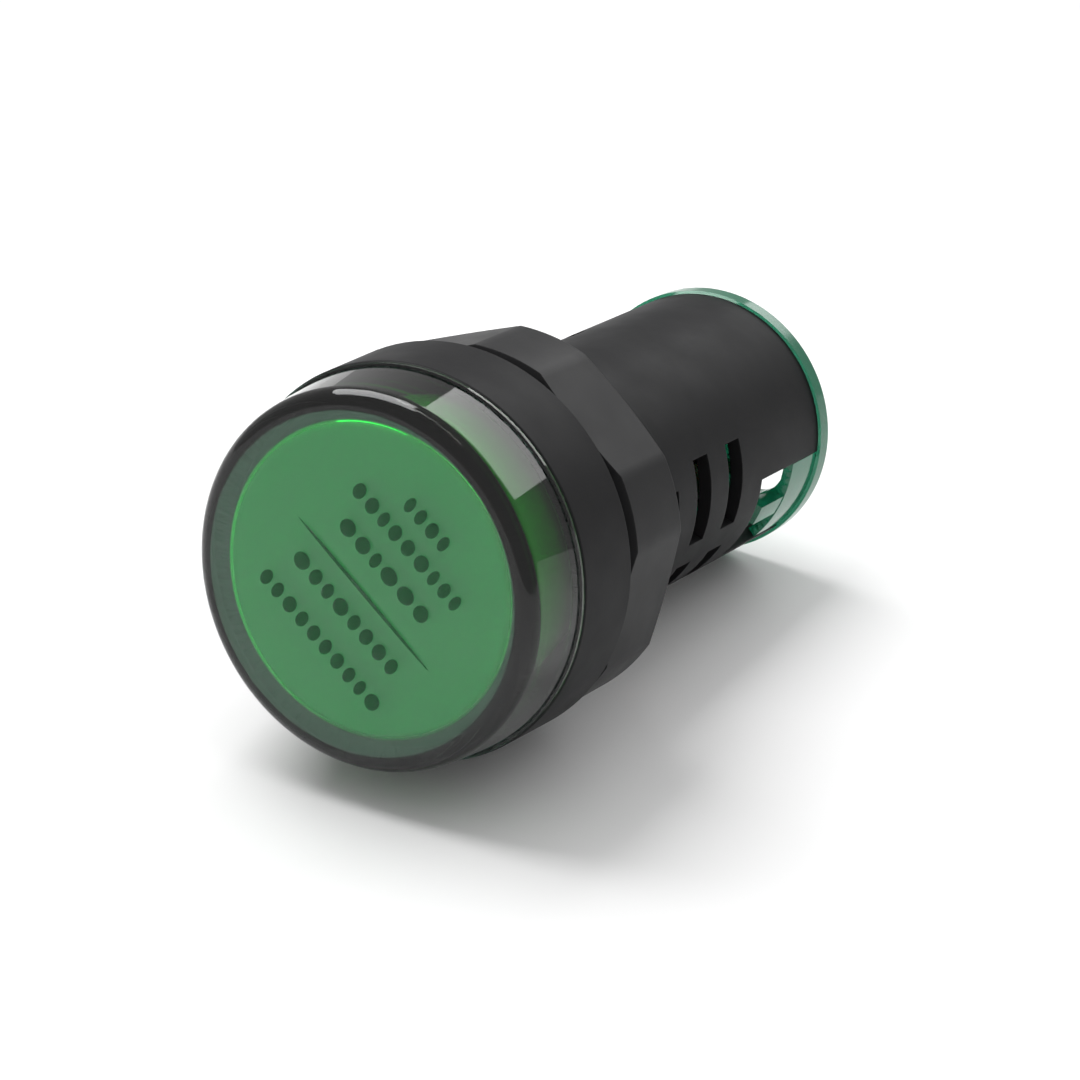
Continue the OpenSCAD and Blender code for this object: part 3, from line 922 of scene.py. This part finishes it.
@dataclass
class Electronics:
    """Small parts on the boards: lamp chips and solder joints."""

    lamps: int = 6
    lamp_circle: float = 6.2
    chip_radius: float = 1.05
    joint_radius: float = 0.55
    board_face: float = 0.6
    strip_face: float = 1.4
    chip_depth: float = 0.12
    leg_inset: float = 0.7
    lead_inset: float = 0.3
    resistor_offset: float = 3.12
    chip_finish: Lacquer = Lacquer("chip_phosphor", (0.80, 0.58, 0.06), 0.35)
    joint_finish: PlatedMetal = PlatedMetal("solder", (0.62, 0.62, 0.60), 0.32)

    def build(self) -> list[bpy.types.Object]:
        """Builds the chips and the joints.

        Returns:
            The two pieces.
        """
        return [self.build_chips(), self.build_joints()]

    def build_chips(self) -> bpy.types.Object:
        """Builds a chip in the well of each lamp.

        Returns:
            The chips as one piece.
        """
        low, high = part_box("leds")
        y = (low.y + high.y) / 2 / MM
        angles = [2 * math.pi * index / self.lamps for index in range(self.lamps)]
        places = [
            from_window(self.lamp_circle * math.cos(a), self.lamp_circle * math.sin(a), y) for a in angles
        ]
        sheet = NodeSheet("lamp_chips", {"Points": "NodeSocketGeometry", "Radius": "NodeSocketFloat"})
        disc = sheet.add(
            "GeometryNodeMeshCylinder", "Mesh",
            Vertices=32, Radius=sheet.input("Radius"), Depth=self.chip_depth * MM,
        )
        chips = sheet.add(
            "GeometryNodeInstanceOnPoints", "Instances",
            Points=sheet.input("Points"), Instance=disc, Rotation=(math.pi / 2, 0.0, 0.0),
        )
        sheet.finish(chips, self.chip_finish.material())
        points = point_cloud("chip_points", places, [1.0] * len(places))
        mesh = sheet.bake("lamp_chips", {"Radius": self.chip_radius * MM}, points)
        return add_piece("lamp_chips", mesh, Body.MAIN)

    def build_joints(self) -> bpy.types.Object:
        """Builds the solder joints of the strips and resistors.

        Returns:
            The joints as one piece.
        """
        leg_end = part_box("terminal_strip_1")[0].y / MM + self.leg_inset
        places = [from_window(side * self.strip_face, 0.0, leg_end) for side in (-1, 1)]
        for node, side in (("inrush_resistor", -1), ("bleed_resistor", 1)):
            low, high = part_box(node)
            for y in (low.y / MM + self.lead_inset, high.y / MM - self.lead_inset):
                places.append(from_window(self.board_face, side * self.resistor_offset, y))
        sheet = NodeSheet("solder_joints", {"Points": "NodeSocketGeometry", "Radius": "NodeSocketFloat"})
        ball = sheet.add(
            "GeometryNodeMeshIcoSphere", "Mesh", Radius=sheet.input("Radius"), Subdivisions=3
        )
        joints = sheet.add(
            "GeometryNodeInstanceOnPoints", "Instances",
            Points=sheet.input("Points"), Instance=ball,
            Rotation=(0.0, math.radians(WINDOW_TURN), 0.0), Scale=(0.6, 1.0, 1.0),
        )
        sheet.finish(joints, self.joint_finish.material())
        points = point_cloud("joint_points", places, [1.0] * len(places))
        mesh = sheet.bake("solder_joints", {"Radius": self.joint_radius * MM}, points)
        mesh.shade_smooth()
        return add_piece("solder_joints", mesh, Body.MAIN)


@dataclass
class SolidFinishes:
    """Finishes for the solids that keep their own mesh."""

    finishes: dict[str, object] = field(default_factory=lambda: {
        "protective_film": ClearFilm("clear_film"),
        "led_board": BoardMask("white_board", (0.82, 0.82, 0.80)),
        "leds": Lacquer("led_package", (0.86, 0.80, 0.40), 0.3),
        "driver_board": BoardMask("green_board", (0.03, 0.18, 0.08)),
        "dropper_capacitor": Lacquer("capacitor_coating", (0.42, 0.08, 0.03)),
        "smoothing_capacitor": Lacquer("can_sleeve", (0.02, 0.03, 0.08), 0.3),
        "bridge_rectifier": MouldedPlastic("black_epoxy", (0.02, 0.02, 0.02), 0.5),
        "inrush_resistor": Lacquer("resistor_blue", (0.12, 0.26, 0.34)),
        "bleed_resistor": Lacquer("resistor_tan", (0.58, 0.40, 0.18)),
        "terminal_strip": PlatedMetal("brass", (0.62, 0.44, 0.18), 0.28),
        "clamp_washer": PlatedMetal("washer_plating", (0.55, 0.55, 0.53), 0.3),
        "terminal_screw": PlatedMetal("screw_plating", (0.60, 0.60, 0.58), 0.25),
        "panel_gasket": MouldedPlastic("black_rubber", (0.004, 0.004, 0.004), 0.85, 0.05, 0.25),
    })

    def dress(self) -> list[str]:
        """Gives each solid the finish whose name its own name starts with.

        Returns:
            Names of the solids that got one.
        """
        materials = {prefix: finish.material() for prefix, finish in self.finishes.items()}
        dressed: list[str] = []
        for name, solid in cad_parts.items():
            for prefix, material in materials.items():
                if name.startswith(prefix):
                    solid.data.materials.clear()
                    solid.data.materials.append(material)
                    dressed.append(name)
        return dressed


# --- Stage ----------------------------------------------------------------------------------------


@dataclass
class Stage:
    """Pale floor, soft light and the camera."""

    camera_place: tuple[float, float, float] = (135.929, -242.403, 100.588)
    camera_right: tuple[float, float, float] = (0.86131, 0.49870, 0.09716)
    camera_up: tuple[float, float, float] = (-0.24977, 0.24906, 0.93573)
    lens_to_frame: float = 3.7037
    nut_chamfer: float = 0.45
    rim_edge: float = 0.3

    def build(self) -> None:
        """Builds the floor, the lights, the world and the camera."""
        self.build_floor()
        self.build_lights()
        self.build_world()
        self.build_camera()
        bpy.context.scene.view_settings.view_transform = "Standard"

    def rest_line(self) -> tuple[Vector, Vector]:
        """Finds where the light rests: on a corner of the nut and on the rim of its tail.

        Returns:
            The two places under the device axis, in metres.
        """
        nut_low, nut_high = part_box("panel_nut")
        base_low, base_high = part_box("terminal_base")
        return (
            Vector((0.0, nut_high.y - self.nut_chamfer * MM, nut_low.z)),
            Vector((0.0, base_high.y - self.rim_edge * MM, base_low.z)),
        )

    def build_floor(self) -> None:
        """Builds the floor under the nut's corner and the tail."""
        front, rear = self.rest_line()
        tilt = math.atan2(rear.z - front.z, rear.y - front.y)
        mesh = bpy.data.meshes.new("floor")
        cage = bmesh.new()
        bmesh.ops.create_grid(cage, x_segments=1, y_segments=1, size=1.2)
        cage.transform(Matrix.Translation(front) @ Matrix.Rotation(tilt, 4, "X"))
        cage.to_mesh(mesh)
        cage.free()
        mesh.materials.append(self.floor_material())
        floor = bpy.data.objects.new("floor", mesh)
        bpy.context.scene.collection.objects.link(floor)

    def floor_material(self) -> bpy.types.Material:
        """Builds the floor's material: matt white near the object, plain white far away.

        Returns:
            The material.
        """
        sheet = ShaderSheet("floor_white")
        sheet.set(Base_Color=(0.86, 0.86, 0.86, 1.0), Roughness=0.8, Specular_IOR_Level=0.1)
        glow = sheet.tree.nodes.new("ShaderNodeEmission")
        ramp = sheet.tree.nodes.new("ShaderNodeMapRange")
        ramp.inputs["From Min"].default_value = 0.07
        ramp.inputs["From Max"].default_value = 0.20
        distance = sheet.tree.nodes.new("ShaderNodeVectorMath")
        distance.operation = "LENGTH"
        mix = sheet.tree.nodes.new("ShaderNodeMixShader")
        sheet.link(sheet.coords.outputs["Object"], distance.inputs[0])
        sheet.link(distance.outputs["Value"], ramp.inputs["Value"])
        sheet.link(ramp.outputs["Result"], mix.inputs["Fac"])
        sheet.link(sheet.shader.outputs["BSDF"], mix.inputs[1])
        sheet.link(glow.outputs["Emission"], mix.inputs[2])
        sheet.link(mix.outputs["Shader"], sheet.output.inputs["Surface"])
        return sheet.material

    def add_light(
        self, name: str, place: tuple[float, float, float], size: tuple[float, float], watts: float
    ) -> None:
        """Adds a rectangular lamp that faces the object.

        Args:
            name: Name of the lamp.
            place: Place of the lamp in metres.
            size: Width and height in metres.
            watts: Power of the lamp.
        """
        lamp = bpy.data.lights.new(name, "AREA")
        lamp.shape = "RECTANGLE"
        lamp.size, lamp.size_y = size
        lamp.energy = watts
        holder = bpy.data.objects.new(name, lamp)
        holder.location = place
        aim = Vector((0.0, 0.01, 0.0)) - Vector(place)
        holder.rotation_euler = aim.to_track_quat("-Z", "Y").to_euler()
        bpy.context.scene.collection.objects.link(holder)

    def build_lights(self) -> None:
        """Adds the lamps."""
        self.add_light("key", (-0.30, 0.0, 0.50), (0.4, 0.4), 3.2)
        self.add_light("back", (0.10, 0.55, 0.45), (0.6, 0.3), 1.6)
        self.add_light("tube", (-0.06, -0.08, 0.90), (0.75, 0.012), 0.6)

    def build_world(self) -> None:
        """Builds a white surround that shows white and lights softly."""
        world = bpy.data.worlds.new("surround")
        world.use_nodes = True
        tree = world.node_tree
        soft = tree.nodes["Background"]
        soft.inputs["Color"].default_value = (1.0, 1.0, 1.0, 1.0)
        soft.inputs["Strength"].default_value = 0.55
        white = tree.nodes.new("ShaderNodeBackground")
        white.inputs["Strength"].default_value = 1.0
        white.inputs["Color"].default_value = (1.0, 1.0, 1.0, 1.0)
        path = tree.nodes.new("ShaderNodeLightPath")
        seen = tree.nodes.new("ShaderNodeMath")
        seen.operation = "MAXIMUM"
        mix = tree.nodes.new("ShaderNodeMixShader")
        tree.links.new(path.outputs["Is Camera Ray"], seen.inputs[0])
        tree.links.new(path.outputs["Is Transmission Ray"], seen.inputs[1])
        tree.links.new(seen.outputs["Value"], mix.inputs["Fac"])
        tree.links.new(soft.outputs["Background"], mix.inputs[1])
        tree.links.new(white.outputs["Background"], mix.inputs[2])
        tree.links.new(mix.outputs["Shader"], tree.nodes["World Output"].inputs["Surface"])
        bpy.context.scene.world = world

    def build_camera(self) -> None:
        """Adds the camera that looks down on the lens from the right."""
        camera = bpy.data.cameras.new("view")
        camera.sensor_width = 36.0
        camera.lens = 36.0 * self.lens_to_frame
        camera.clip_start = 0.01
        camera.clip_end = 10.0
        right, up = Vector(self.camera_right).normalized(), Vector(self.camera_up).normalized()
        back = right.cross(up)
        turn = Matrix((right, up, back)).transposed().to_4x4()
        holder = bpy.data.objects.new("view", camera)
        holder.matrix_world = Matrix.Translation(Vector(self.camera_place) * MM) @ turn
        bpy.context.scene.collection.objects.link(holder)
        bpy.context.scene.camera = holder


def main() -> None:
    """Builds the light and its stage."""
    logging.basicConfig(level=logging.INFO, format="%(message)s")
    Stage().build()
    SolidFinishes().dress()
    for assembly in (LensCap(), FilmPrint(), Housing(), PanelNut(), Terminals(), Electronics()):
        built = assembly.build()
        for piece in built if isinstance(built, list) else [built]:
            LOG.info("%s: %d faces", piece.name, len(piece.data.polygons))


if __name__ == "__main__":
    main()
